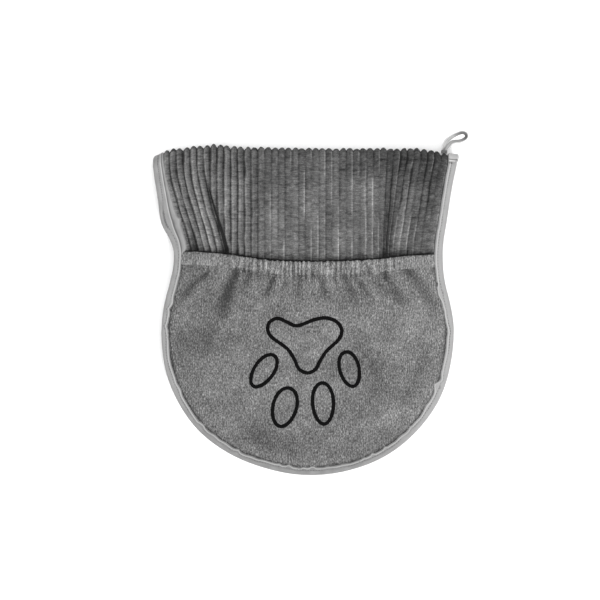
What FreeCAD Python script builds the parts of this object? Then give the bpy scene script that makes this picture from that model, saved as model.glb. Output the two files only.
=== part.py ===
import FreeCAD, Part
import math
import os
from FreeCAD import Vector

# Pet drying towel with a hand pocket in each end, folded in half and lying on its back pocket.
# Millimetres. +Z is up, +Y runs from the rounded ends to the fold, and +X is the hanging loop's side.
# The origin is on the surface the towel lies on, on its centre line, midway from rounded end to fold.

# Outline of one half, seen from above
HALF_LENGTH = 197.0
END_RADIUS = 174.0
NECK_HALF_WIDTH = 161.5
NECK_Y = 66.0
FOLD_HALF_WIDTH = 181.5

# Layers, as distances from the plane halfway up the folded stack
HALF_GAP = 0.5
CHENILLE = 6.0
POCKET_ROOM = 5.5
TERRY = 1.8
HEM_THICKNESS = 2.4
FOLD_RADIUS = 13.0
RAMP_Y = 82.0
CLEARANCE = 0.3

# Edge binding
BINDING_WIDTH = 9.5
BINDING_THICKNESS = 1.3
SEAM_INSET = 7.6
THREAD_WIDTH = 0.7
THREAD_HEIGHT = 0.3

# Hand pockets
POCKET_INSET = 10.0
POCKET_RIM = 2.5
MOUTH_X = 150.0
MOUTH_SIDE_Y = 70.0
MOUTH_MIDDLE_Y = 59.0
HEM_HEIGHT = 16.5
ELASTIC_FROM_X = -93.0
ELASTIC_TO_X = 106.0
ELASTIC_WIDTH = 10.0
ELASTIC_THICKNESS = 0.8
CASING_PLAY = 0.4

# Embroidered paw: a line of satin stitch, sunk flush with the pocket's outer face
LINE_WIDTH = 4.2
LINE_DEPTH = 0.6
PAD_POINTS = [
    (-33.5, -7.8), (-43, -12.5), (-45, -22), (-40, -30.5), (-22, -44), (-13.5, -56.5), (-8, -68), (2, -73),
    (12, -68.5), (18, -57.5), (26, -46), (39.5, -33), (43.3, -22), (37.5, -12.2), (25.5, -7.3), (11, -9.2),
    (-9.8, -16.6), (-22, -12.2),
]
TOES = {  # centre, half length, half width, turn from upright
    "outer_left": ((-50, -70.5), 22, 11.5, -35),
    "inner_left": ((-25, -114), 23.5, 14, -15),
    "inner_right": ((21, -109.5), 24.5, 12.5, 3),
    "outer_right": ((52.5, -68.5), 21, 11.5, 14),
}

# Hanging loop, bartack and the binding's end tab, at the fold's right corner
TAPE_HEIGHT = 7.0
BARTACK_HEIGHT = 2.4
BARTACK_LENGTH = 3.2
LOOP_ROOT_X = (162.5, 170.0)
LOOP_ROOT_GAP = 0.8
LOOP_OUTER = [(163.5, 206), (174, 212), (187.5, 217.5), (194.5, 211.5), (183, 204.5), (173, 201.5)]
LOOP_HOLE = [(173.5, 206), (180, 211.5), (189, 214.5), (191.5, 211.5), (182, 207)]
TAB_X = (171.5, 181.5)
TAB_LENGTH = 9.0
TAB_THICKNESS = 0.8

# Worked out from the above
CHENILLE_FACE = HALF_GAP + CHENILLE
PANEL_INSIDE = CHENILLE_FACE + POCKET_ROOM
POCKET_FACE = PANEL_INSIDE + TERRY
HEM_INSIDE = POCKET_FACE - HEM_THICKNESS
MID_Z = POCKET_FACE
RISE = FOLD_RADIUS - CHENILLE_FACE
FOLD_Y = HALF_LENGTH - FOLD_RADIUS
TOP_Y = FOLD_Y - CLEARANCE
END_Y = END_RADIUS - HALF_LENGTH
NECK_RISE = NECK_Y - END_Y
NECK_RELIEF = END_RADIUS - NECK_HALF_WIDTH
NECK_RADIUS = (NECK_HALF_WIDTH**2 + NECK_RISE**2 - END_RADIUS**2) / (2 * NECK_RELIEF)
NECK_X = NECK_HALF_WIDTH + NECK_RADIUS
NECK_ANGLE = math.atan2(NECK_RISE, NECK_X)
CORNER_ANGLE = math.atan2(TOP_Y - NECK_Y, NECK_X - FOLD_HALF_WIDTH)
CORNER_DISTANCE = math.hypot(TOP_Y - NECK_Y, NECK_X - FOLD_HALF_WIDTH)
TAPER_ANGLE = CORNER_ANGLE - math.acos(NECK_RADIUS / CORNER_DISTANCE)
REACH = 1.2 * HALF_LENGTH
SIDES = {"front": 1, "back": -1}


def neck_point(inset, angle):
    """A point of the concave neck arc, at an angle above the neck's narrowest place."""
    radius = NECK_RADIUS + inset
    return Vector(NECK_X - radius * math.cos(angle), NECK_Y + radius * math.sin(angle), 0)


def outline(inset):
    """One half seen from above: tapered sides, a concave neck and a round end, moved in by inset."""
    taper_start = neck_point(inset, TAPER_ANGLE)
    taper_run = TOP_Y - taper_start.y
    corner = Vector(taper_start.x + taper_run * math.tan(TAPER_ANGLE), TOP_Y, 0)
    end_start = neck_point(inset, -NECK_ANGLE)
    side = [
        Part.LineSegment(corner, taper_start).toShape(),
        Part.Arc(taper_start, neck_point(inset, 0), end_start).toShape(),
    ]
    mirrored = [edge.mirror(Vector(0, 0, 0), Vector(1, 0, 0)) for edge in side]
    bottom = Vector(0, END_Y - END_RADIUS + inset, 0)
    end_finish = Vector(-end_start.x, end_start.y, 0)
    round_end = Part.Arc(end_start, bottom, end_finish).toShape()
    fold_edge = Part.LineSegment(Vector(-corner.x, TOP_Y, 0), corner).toShape()
    return Part.Face(Part.Wire(Part.__sortEdges__(side + mirrored + [round_end, fold_edge])))


def below_mouth(drop):
    """Everything on the pocket's side of the mouth line, with that line moved down by drop."""
    left = Vector(-MOUTH_X, MOUTH_SIDE_Y - drop, 0)
    middle = Vector(0, MOUTH_MIDDLE_Y - drop, 0)
    right = Vector(MOUTH_X, MOUTH_SIDE_Y - drop, 0)
    corners = [right, Vector(REACH, right.y, 0), Vector(REACH, -REACH, 0), Vector(-REACH, -REACH, 0)]
    corners += [Vector(-REACH, left.y, 0), left]
    return Part.Face(Part.Wire([Part.Arc(left, middle, right).toShape()] + Part.makePolygon(corners).Edges))


def mouth_strip(near, far, from_x, to_x):
    """A strip that follows the mouth line, between two distances below it and two places along X."""
    strip = below_mouth(near).cut(below_mouth(far))
    return strip.common(Part.makePlane(to_x - from_x, 2 * REACH, Vector(from_x, -REACH, 0)))


def slab(side, low, high, plan):
    """A flat layer of a half, between two distances from the middle plane."""
    bottom = min(MID_Z + side * low, MID_Z + side * high)
    return plan.translated(Vector(0, 0, bottom)).extrude(Vector(0, 0, high - low))


def layer(side, low, high, plan):
    """A layer that runs flat under the pocket and then spreads outwards to meet the fold."""
    profile = [(-REACH, low), (RAMP_Y, low), (TOP_Y, low + RISE)]
    profile += [(TOP_Y, high + RISE), (RAMP_Y, high), (-REACH, high)]
    points = [Vector(-REACH, y, MID_Z + side * distance) for y, distance in profile]
    band = Part.Face(Part.makePolygon(points + points[:1])).extrude(Vector(2 * REACH, 0, 0))
    return band.common(plan.extrude(Vector(0, 0, 2 * MID_Z)))


def folded_strip(from_x, to_x):
    """A stretch of the cloth's thickness bent half a turn round the fold."""
    centre = Vector(from_x, FOLD_Y, MID_Z)
    length = to_x - from_x
    outer = Part.makeCylinder(FOLD_RADIUS, length, centre, Vector(1, 0, 0))
    inner = Part.makeCylinder(FOLD_RADIUS - CHENILLE, length, centre, Vector(1, 0, 0))
    beyond = Part.makeBox(length, FOLD_RADIUS, 2 * MID_Z, Vector(from_x, FOLD_Y, 0))
    return outer.cut(inner).common(beyond)


def smooth_loop(points):
    """A closed curve through points."""
    curve = Part.BSplineCurve()
    curve.interpolate([Vector(x, y, 0) for x, y in points], True)
    return curve


def pad_line():
    """The satin line round the paw's pad, seen from above."""
    path = smooth_loop(PAD_POINTS)
    faces = []
    for shift in (LINE_WIDTH / 2, -LINE_WIDTH / 2):
        points = []
        for x, y in PAD_POINTS:
            along = path.tangent(path.parameter(Vector(x, y, 0)))[0]
            points.append((x - shift * along.y, y + shift * along.x))
        faces.append(Part.Face(Part.Wire(smooth_loop(points).toShape())))
    inner, outer = sorted(faces, key=lambda face: face.Area)
    return outer.cut(inner)


def toe_line(centre, half_length, half_width, turn):
    """The satin line round one toe: an oval ring seen from above."""
    faces = []
    for grow in (LINE_WIDTH / 2, -LINE_WIDTH / 2):
        oval = Part.Ellipse(Vector(0, 0, 0), half_length + grow, half_width + grow).toShape()
        oval.rotate(Vector(0, 0, 0), Vector(0, 0, 1), 90 + turn)
        oval.translate(Vector(centre[0], centre[1], 0))
        faces.append(Part.Face(Part.Wire(oval)))
    return faces[0].cut(faces[1])


def make_half(name, side):
    """Chenille cloth of one half, its edge binding and the thread that sews the binding on."""
    tongue_low = HALF_GAP + BINDING_THICKNESS
    tongue_high = CHENILLE_FACE - BINDING_THICKNESS
    tongue = layer(side, tongue_low, tongue_high, outline(BINDING_THICKNESS))
    cloth = layer(side, HALF_GAP, CHENILLE_FACE, outline(BINDING_WIDTH)).fuse(tongue)
    border = outline(0).cut(outline(BINDING_WIDTH))
    thread_plan = outline(SEAM_INSET).cut(outline(SEAM_INSET + THREAD_WIDTH))
    return {
        f"{name}_chenille_panel": cloth.removeSplitter(),
        f"{name}_edge_binding": layer(side, HALF_GAP, CHENILLE_FACE, border).cut(tongue),
        f"{name}_binding_seam": layer(side, CHENILLE_FACE, CHENILLE_FACE + THREAD_HEIGHT, thread_plan),
    }


def make_pocket(name, side):
    """Terry pocket panel, its gathered hem with the elastic inside, the hem's seam and the paw."""
    plan = outline(POCKET_INSET)
    rim = plan.cut(outline(POCKET_INSET + POCKET_RIM))
    rim_low = CHENILLE_FACE + CLEARANCE
    panel_plan = plan.common(below_mouth(HEM_HEIGHT))
    panel = slab(side, PANEL_INSIDE, POCKET_FACE, panel_plan)
    panel = panel.fuse(slab(side, rim_low, PANEL_INSIDE, rim.common(panel_plan)))
    hem_plan = plan.common(below_mouth(0)).cut(below_mouth(HEM_HEIGHT))
    hem = slab(side, HEM_INSIDE, POCKET_FACE, hem_plan)
    hem = hem.fuse(slab(side, rim_low, HEM_INSIDE, rim.common(hem_plan)))

    casing_near = (HEM_HEIGHT - ELASTIC_WIDTH) / 2
    middle = (HEM_INSIDE + POCKET_FACE) / 2
    elastic_plan = mouth_strip(casing_near, casing_near + ELASTIC_WIDTH, ELASTIC_FROM_X, ELASTIC_TO_X)
    elastic = slab(side, middle - ELASTIC_THICKNESS / 2, middle + ELASTIC_THICKNESS / 2, elastic_plan)
    casing_plan = mouth_strip(
        casing_near - CASING_PLAY,
        casing_near + ELASTIC_WIDTH + CASING_PLAY,
        ELASTIC_FROM_X - CASING_PLAY,
        ELASTIC_TO_X + CASING_PLAY,
    )
    casing_half = ELASTIC_THICKNESS / 2 + CASING_PLAY / 2
    seam_near = HEM_HEIGHT - 2 * THREAD_WIDTH
    seam_plan = plan.common(mouth_strip(seam_near, seam_near + THREAD_WIDTH, -REACH, REACH))
    seam = slab(side, POCKET_FACE - LINE_DEPTH, POCKET_FACE, seam_plan)
    casing = slab(side, middle - casing_half, middle + casing_half, casing_plan)
    hem = hem.removeSplitter().cut([casing, seam])

    paw = {f"{name}_paw_pad": pad_line()}
    for toe, shape in TOES.items():
        paw[f"{name}_paw_toe_{toe}"] = toe_line(*shape)
    paw = {node: slab(side, POCKET_FACE - LINE_DEPTH, POCKET_FACE, plan) for node, plan in paw.items()}
    return {
        f"{name}_pocket_panel": panel.removeSplitter().cut(list(paw.values())),
        f"{name}_pocket_hem": hem,
        f"{name}_pocket_elastic": elastic,
        f"{name}_hem_seam": seam,
    } | paw


def make_fold():
    """The cloth and the two bindings where they bend round the fold."""
    inner = FOLD_HALF_WIDTH - BINDING_WIDTH
    return {
        "fold_chenille": folded_strip(-inner, inner),
        "fold_binding_left": folded_strip(-FOLD_HALF_WIDTH, -inner),
        "fold_binding_right": folded_strip(inner, FOLD_HALF_WIDTH),
    }


def make_corner():
    """The hanging loop, the bartack that holds it, and the binding's folded end."""
    root_start = HALF_LENGTH + CLEARANCE
    root_width = LOOP_ROOT_X[1] - LOOP_ROOT_X[0]
    bartack_corner = Vector(LOOP_ROOT_X[0], root_start, MID_Z - BARTACK_HEIGHT / 2)
    loop_start = root_start + BARTACK_LENGTH + LOOP_ROOT_GAP
    ends = [Vector(x, loop_start, 0) for x in LOOP_ROOT_X]
    curve = Part.BSplineCurve()
    curve.interpolate([ends[0]] + [Vector(x, y, 0) for x, y in LOOP_OUTER] + [ends[1]])
    tape = Part.Face(Part.Wire([curve.toShape(), Part.LineSegment(ends[1], ends[0]).toShape()]))
    tape = tape.cut(Part.Face(Part.Wire(smooth_loop(LOOP_HOLE).toShape())))
    loop = tape.translated(Vector(0, 0, MID_Z - TAPE_HEIGHT / 2)).extrude(Vector(0, 0, TAPE_HEIGHT))
    tab_plan = Part.makePlane(TAB_X[1] - TAB_X[0], TAB_LENGTH, Vector(TAB_X[0], TOP_Y - TAB_LENGTH, 0))
    tab_plan = tab_plan.common(outline(0))
    return {
        "loop_bartack": Part.makeBox(root_width, BARTACK_LENGTH, BARTACK_HEIGHT, bartack_corner),
        "hanging_loop": loop,
        "binding_end_tab": layer(1, CHENILLE_FACE, CHENILLE_FACE + TAB_THICKNESS, tab_plan),
    }


nodes = make_fold() | make_corner()
for half_name, half_side in SIDES.items():
    nodes |= make_half(half_name, half_side)
    nodes |= make_pocket(half_name, half_side)
nodes["front_binding_seam"] = nodes["front_binding_seam"].cut(nodes["binding_end_tab"])

for node_name, shape in nodes.items():
    solids = shape.Solids
    single = solids[0] if len(solids) == 1 else Part.Compound(solids)
    print(f"{node_name}: {len(solids)} solid, valid {single.isValid()}, {single.Volume / 1000:.2f} cm3")
    single.exportStep(f"parts/{node_name}.step")
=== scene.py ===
import math

import bpy
import numpy as np
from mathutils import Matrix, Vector


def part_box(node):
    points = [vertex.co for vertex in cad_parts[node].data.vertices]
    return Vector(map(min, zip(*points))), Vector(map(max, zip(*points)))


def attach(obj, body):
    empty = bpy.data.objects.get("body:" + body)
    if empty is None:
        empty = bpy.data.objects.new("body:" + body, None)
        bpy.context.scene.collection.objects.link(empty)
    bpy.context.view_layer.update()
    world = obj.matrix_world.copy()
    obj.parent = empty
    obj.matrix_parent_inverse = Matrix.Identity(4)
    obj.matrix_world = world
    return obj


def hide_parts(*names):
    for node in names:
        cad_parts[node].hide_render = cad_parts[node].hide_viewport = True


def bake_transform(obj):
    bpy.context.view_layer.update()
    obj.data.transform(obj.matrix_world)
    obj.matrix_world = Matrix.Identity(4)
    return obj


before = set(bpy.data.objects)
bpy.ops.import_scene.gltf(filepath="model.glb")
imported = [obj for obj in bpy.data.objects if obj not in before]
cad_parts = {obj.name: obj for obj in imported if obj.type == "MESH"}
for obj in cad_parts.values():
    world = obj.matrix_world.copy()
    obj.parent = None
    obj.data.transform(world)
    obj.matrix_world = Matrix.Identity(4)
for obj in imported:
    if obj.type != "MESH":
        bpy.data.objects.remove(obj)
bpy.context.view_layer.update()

# A pet drying towel with a hand pocket in each end, folded in half. Lengths are in millimetres, and
# become metres where a mesh is made. The cloth is laid out on two coordinates: x across, and "run", the
# signed way along it from the fold's middle, above 0 on the front half and below 0 on the back half.
MM = 0.001


def corners(node):
    low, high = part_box(node)
    return np.array(low) / MM, np.array(high) / MM


# Places that the CAD parts give
EDGE_LOW, EDGE_HIGH = corners("front_edge_binding")
FOLD_LOW, FOLD_HIGH = corners("fold_chenille")
_, HEM_HIGH = corners("front_pocket_hem")
ELASTIC_LOW, ELASTIC_HIGH = corners("front_pocket_elastic")
_, BARTACK_HIGH = corners("loop_bartack")
MID_Z = (FOLD_LOW[2] + FOLD_HIGH[2]) / 2
FOLD_OUTER = (FOLD_HIGH[2] - FOLD_LOW[2]) / 2
FOLD_Y = FOLD_HIGH[1] - FOLD_OUTER
FOLD_HALF_WIDTH = EDGE_HIGH[0]
POCKET_FACE = HEM_HIGH[2] - MID_Z

# Cloth
CLOTH = 6.0
FOLD_RADIUS = FOLD_OUTER - CLOTH / 2
QUARTER = FOLD_RADIUS * math.pi / 2
FLAT_OFFSET = EDGE_LOW[2] - MID_Z + CLOTH / 2
SPREAD_FROM_Y = 74.0
RIBS = 44
COLUMNS_PER_RIB = 6
CLOTH_REACH = FOLD_HALF_WIDTH - 2.0
PILE_PROUD = 0.35
INNER_PILE = 1.6
OUTER_SEED, INNER_SEED = 11, 51
RUN_TO_MOUTH = 152.0

# Outline of one half
END_RADIUS = 174.0
END_Y = EDGE_LOW[1] + END_RADIUS
NECK_Y = 66.0
NECK_HALF_WIDTH = 161.5
NECK_RISE = NECK_Y - END_Y
NECK_RELIEF = END_RADIUS - NECK_HALF_WIDTH
NECK_RADIUS = (NECK_HALF_WIDTH**2 + NECK_RISE**2 - END_RADIUS**2) / (2 * NECK_RELIEF)
NECK_X = NECK_HALF_WIDTH + NECK_RADIUS
RUN_TO_ROUND = QUARTER + FOLD_Y - END_Y

# Binding and pocket
BINDING_WIDTH = 8.8
EDGE_STEP = 1.6
TAPE = 0.9
SEAM_INSET = 7.0
STITCH_INSET = 6.1
STITCH_PITCH = 3.4
HEM_STITCH_PITCH = 3.1
BINDING_STITCH = (1.8, 0.9, 0.4)
HEM_STITCH = (2.0, 0.6, 0.35)
HEM_HEIGHT = 16.5
TUCKED_UNDER_HEM = 3.0
MOUTH_LINE = [
    (-160, 71), (-138, 72), (-120, 71), (-98, 69.2), (-68, 65), (-40, 61.4), (0, 59.8), (50, 61),
    (90, 63.2), (112, 66), (135, 67.6), (160, 69.5),
]
PUCKER_PITCH = 6.2
GATHER_FROM, GATHER_TO = ELASTIC_LOW[0], ELASTIC_HIGH[0]


# ---- plain maths

def smooth(value, low, high):
    """0 below low, 1 above high, and an even S between."""
    t = np.clip((value - low) / (high - low), 0, 1)
    return t * t * (3 - 2 * t)


def fade(value, low, high):
    return 1 - smooth(value, low, high)


def bump(value, centre, width):
    return np.exp(-(((value - centre) / width) ** 2))


def noise(x, y, seed):
    """Smooth value noise from -1 to 1 that changes over about one unit."""
    size = 128
    table = np.random.default_rng(seed).uniform(-1, 1, (size, size))
    column, row = np.floor(x).astype(int), np.floor(y).astype(int)
    fx, fy = x - column, y - row
    fx, fy = fx * fx * (3 - 2 * fx), fy * fy * (3 - 2 * fy)
    c0, c1, r0, r1 = column % size, (column + 1) % size, row % size, (row + 1) % size
    low = table[r0, c0] * (1 - fx) + table[r0, c1] * fx
    high = table[r1, c0] * (1 - fx) + table[r1, c1] * fx
    return low * (1 - fy) + high * fy


def noise_along(x, seed):
    return noise(x, 0 * x, seed)


def spline(points, samples, closed=False):
    """A smooth line through points, as evenly spaced samples."""
    given = np.array(points, float)
    if closed:
        ring = np.concatenate([given[-1:], given, given[:2]])
    else:
        ring = np.concatenate([2 * given[:1] - given[1:2], given, 2 * given[-1:] - given[-2:-1]])
    parts = []
    for p0, p1, p2, p3 in zip(ring, ring[1:], ring[2:], ring[3:]):
        t = np.linspace(0, 1, 40, endpoint=False)[:, None]
        parts.append(0.5 * (2 * p1 + (p2 - p0) * t + (2 * p0 - 5 * p1 + 4 * p2 - p3) * t**2
                            + (3 * p1 - p0 - 3 * p2 + p3) * t**3))
    line = np.concatenate(parts + [given[:1] if closed else given[-1:]])
    along = np.concatenate([[0], np.cumsum(np.linalg.norm(np.diff(line, axis=0), axis=1))])
    wanted = np.linspace(0, along[-1], samples, endpoint=not closed)
    return np.stack([np.interp(wanted, along, line[:, k]) for k in range(line.shape[1])], axis=1)


def follow(value, line):
    """The second column of a table at a value of its first."""
    return np.interp(value, line[:, 0], line[:, 1])


def ring_length(points):
    ring = spline(points, 400, closed=True)
    return float(np.linalg.norm(np.roll(ring, -1, axis=0) - ring, axis=1).sum())


MOUTH = spline(MOUTH_LINE, 200)


def mouth_y(x):
    """The pocket mouth's edge."""
    return follow(x, MOUTH)


def gather(x):
    """1 where the elastic gathers the mouth, and 0 beyond its ends."""
    return smooth(x, GATHER_FROM - 4, GATHER_FROM + 14) * fade(x, GATHER_TO - 8, GATHER_TO + 3)


# ---- the towel's form

def half_width(y):
    """Half the towel's width: tapered down from the fold, a concave neck, then the round end."""
    angle = math.atan2(FOLD_Y - NECK_Y, NECK_X - FOLD_HALF_WIDTH)
    reach = math.hypot(FOLD_Y - NECK_Y, NECK_X - FOLD_HALF_WIDTH)
    taper = angle - math.acos(NECK_RADIUS / reach)
    taper_y = NECK_Y + NECK_RADIUS * math.sin(taper)
    taper_x = NECK_X - NECK_RADIUS * math.cos(taper)
    round_y = END_Y + END_RADIUS * (NECK_Y - END_Y) / (END_RADIUS + NECK_RADIUS)
    line = taper_x + (y - taper_y) * math.tan(taper)
    neck = NECK_X - np.sqrt(np.maximum(NECK_RADIUS**2 - (y - NECK_Y) ** 2, 0))
    end = np.sqrt(np.maximum(END_RADIUS**2 - (y - END_Y) ** 2, 0))
    return np.where(y > taper_y, line, np.where(y > round_y, neck, end))


def centre_x(y):
    """The towel isn't laid quite straight: its middle wanders a little."""
    return 1.8 + 1.2 * bump(y, NECK_Y, 50) - 2.4 * smooth(y, 100, FOLD_Y)


# How far the left edge stands out above the neck, by y, and how far the round end swells, by its angle
# from the right in degrees
SHOULDER_LINE = spline([
    (40, 0.6), (52, -0.3), (70, -0.6), (77, 0.1), (84, 1.8), (91, 4), (97, 6.4), (103, 8.2), (110, 8.7),
    (120, 8), (137, 5.8), (160, 3.2), (183, 0.6), (200, 0.2),
], 120)
SWELL_LINE = spline([
    (-20, 2), (0, 2), (11, 2.4), (27, 4.4), (42, 3.9), (57, 2.9), (74, 0.2), (90, -1.3), (107, -2.2),
    (122, -0.1), (138, 2.6), (153, 2.4), (163, 2.1), (177, 0.8), (200, 0.5),
], 160)


def side_x(y, sign):
    """The left (-1) or right (1) edge. The left one stands out in a shoulder above the neck."""
    if sign < 0:
        extra = follow(y, SHOULDER_LINE) * smooth(y, END_Y, 40)
        extra = extra + 0.5 * fade(y, END_Y, 20)
    else:
        extra = 2.0 * fade(y, END_Y, 24)
    return centre_x(y) + sign * (half_width(y) + extra)


def end_radius(angle):
    """The round end's radius at an angle from the right, in radians."""
    return END_RADIUS + follow(np.degrees(angle), SWELL_LINE)


def end_drop(x, inset):
    """How far below END_Y the round end reaches at x, less an inset."""
    angle = np.linspace(0, math.pi, 400)
    radius = end_radius(angle) - inset
    return np.interp(-(x - centre_x(END_Y)), -radius * np.cos(angle), radius * np.sin(angle), 0, 0)


def edge_distance(x, y):
    """How far a place is inside the towel's outline."""
    held = np.maximum(y, END_Y)
    side = np.minimum(x - side_x(held, -1), side_x(held, 1) - x)
    away = x - centre_x(END_Y)
    end = end_radius(np.arctan2(np.maximum(END_Y - y, 0), away)) - np.hypot(away, y - END_Y)
    return np.where(y > END_Y, side, end)


def seam_distance(x, y):
    """How far a place is inside the seam that holds the pocket."""
    return edge_distance(x, np.minimum(y, FOLD_Y)) - SEAM_INSET


def spread(y):
    """How far the cloth's middle is from the plane between the halves."""
    return FLAT_OFFSET + (FOLD_RADIUS - FLAT_OFFSET) * smooth(y, SPREAD_FROM_Y, FOLD_Y + 30) * 1.25


def y_of(run):
    """The y of a place on a half, laid flat, by its run."""
    return FOLD_Y + QUARTER - np.abs(run)


def place(x, run, height):
    """Places for points on the cloth: x across, the run along it, and a height outwards from its middle."""
    side = np.where(run < 0, -1.0, 1.0)
    bend = np.clip(run / FOLD_RADIUS, -math.pi / 2, math.pi / 2)
    flat_y = FOLD_Y - (np.abs(run) - QUARTER)
    on_fold = np.abs(run) < QUARTER
    y = np.where(on_fold, FOLD_Y + FOLD_RADIUS * np.cos(bend), flat_y)
    top = spread(FOLD_Y)
    offset = np.where(on_fold, top * np.sin(bend), side * np.minimum(spread(flat_y), top))
    out_y = np.where(on_fold, np.cos(bend), 0)
    out_z = np.where(on_fold, np.sin(bend), side)
    drift = fold_edge(x) * fade(np.abs(run), 8, 70)
    return points_of(x, y + out_y * height + drift, MID_Z + offset + out_z * height)


FOLD_EDGE_LINE = spline([
    (-190, -11), (-178, -9.6), (-168, -4), (-155, -0.8), (-140, 1.0), (-115, 4.0), (-92, 2.6), (-60, 0.9),
    (0, -0.6), (40, -1.1), (90, -0.6), (142, -1.3), (156, -3.4), (164, -6), (176, -8.2), (190, -9),
], 160)


def fold_edge(x):
    """How far the fold's edge strays from a straight line: it droops at both ends."""
    return follow(x, FOLD_EDGE_LINE)


def fold_weight(x, run):
    """0 on the front half and 1 on the back half, turning evenly round the fold. Where the fold stands out
    it turns over a longer run."""
    reach = QUARTER * (1 + 0.83 * np.maximum(fold_edge(x), 0) / FOLD_RADIUS)
    return np.clip(0.5 - 0.5 * run / reach, 0, 1)


# ---- meshes

def points_of(*parts):
    """Points from their separate coordinates, which may each be a number, a row, a column or a grid."""
    return np.stack(np.broadcast_arrays(*parts), axis=-1)


def directions(along):
    """Each row of along at length 1, and the way to its left."""
    along = along / np.linalg.norm(along, axis=1)[:, None]
    return along, np.stack([-along[:, 1], along[:, 0]], axis=1)


def grid_faces(rows, columns, wrap_rows=False, wrap_columns=False, start=0, flip=False):
    """Quads over a grid of points that is stored row by row."""
    r = np.arange(rows if wrap_rows else rows - 1)
    c = np.arange(columns if wrap_columns else columns - 1)
    r, c = np.meshgrid(r, c, indexing="ij")
    r2, c2 = (r + 1) % rows, (c + 1) % columns
    quads = np.stack([r * columns + c, r * columns + c2, r2 * columns + c2, r2 * columns + c], axis=-1)
    quads = quads.reshape(-1, 4) + start
    return quads[:, ::-1] if flip else quads


def link(obj):
    bpy.context.scene.collection.objects.link(obj)
    return obj


def mesh_object(name, points, faces, material, tone, weave):
    """A smooth-shaded mesh from places in millimetres. Each point has a tone, from -1 to 1, and the cloth's
    own coordinates, which its material reads."""
    mesh = bpy.data.meshes.new(name)
    points = points.reshape(-1, 3) * MM
    mesh.vertices.add(len(points))
    mesh.vertices.foreach_set("co", points.ravel())
    mesh.loops.add(faces.size)
    mesh.loops.foreach_set("vertex_index", faces.ravel().astype(np.int32))
    mesh.polygons.add(len(faces))
    mesh.polygons.foreach_set("loop_start", np.arange(0, faces.size, 4, dtype=np.int32))
    mesh.polygons.foreach_set("use_smooth", np.ones(len(faces), bool))
    mesh.update(calc_edges=True)
    for key, kind, field, values in (("tone", "FLOAT", "value", tone),
                                     ("weave", "FLOAT_VECTOR", "vector", weave)):
        mesh.attributes.new(key, kind, "POINT").data.foreach_set(field, values.astype(np.float32).ravel())
    mesh.validate()
    mesh.materials.append(material)
    return link(bpy.data.objects.new(name, mesh))


def closed_sheet(name, layers, material, tone, weave, flip=False):
    """A sheet with two faces and a rim, from an outer and an inner grid of the same size."""
    rows, columns = layers[0].shape[:2]
    count = rows * columns
    faces = [grid_faces(rows, columns, flip=flip), grid_faces(rows, columns, start=count, flip=not flip)]
    index = np.arange(count).reshape(rows, columns)
    rim = np.concatenate([index[0, :-1], index[:-1, -1], index[-1, :0:-1], index[:0:-1, 0]])
    after = np.roll(rim, -1)
    walls = np.stack([rim, rim + count, after + count, after], axis=-1)
    faces.append(walls[:, ::-1] if flip else walls)
    faces = np.concatenate(faces)
    return mesh_object(name, np.stack(layers), faces, material, np.stack(tone), np.stack(weave))


def dress(obj, bodies, weights, slot, *nodes):
    """obj is set in its world place, and the CAD nodes that it stands for are hidden; its weights, one for
    each point and repeated for each of its layers, are not applied. The bodies and the slot are not used."""
    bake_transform(obj)
    weights = np.resize(weights, len(obj.data.vertices)).astype(np.float32)
    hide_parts(*nodes)
    return obj


def on_fold(obj, x, run, slot, *nodes):
    return dress(obj, ("front_half", "back_half"), fold_weight(x, run), slot, *nodes)


def on_pocket(obj, name, x, y, slot, *nodes):
    return dress(obj, (f"{name}_half", f"{name}_pocket"), pocket_weight(x, y), slot, *nodes)


# ---- materials

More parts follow.
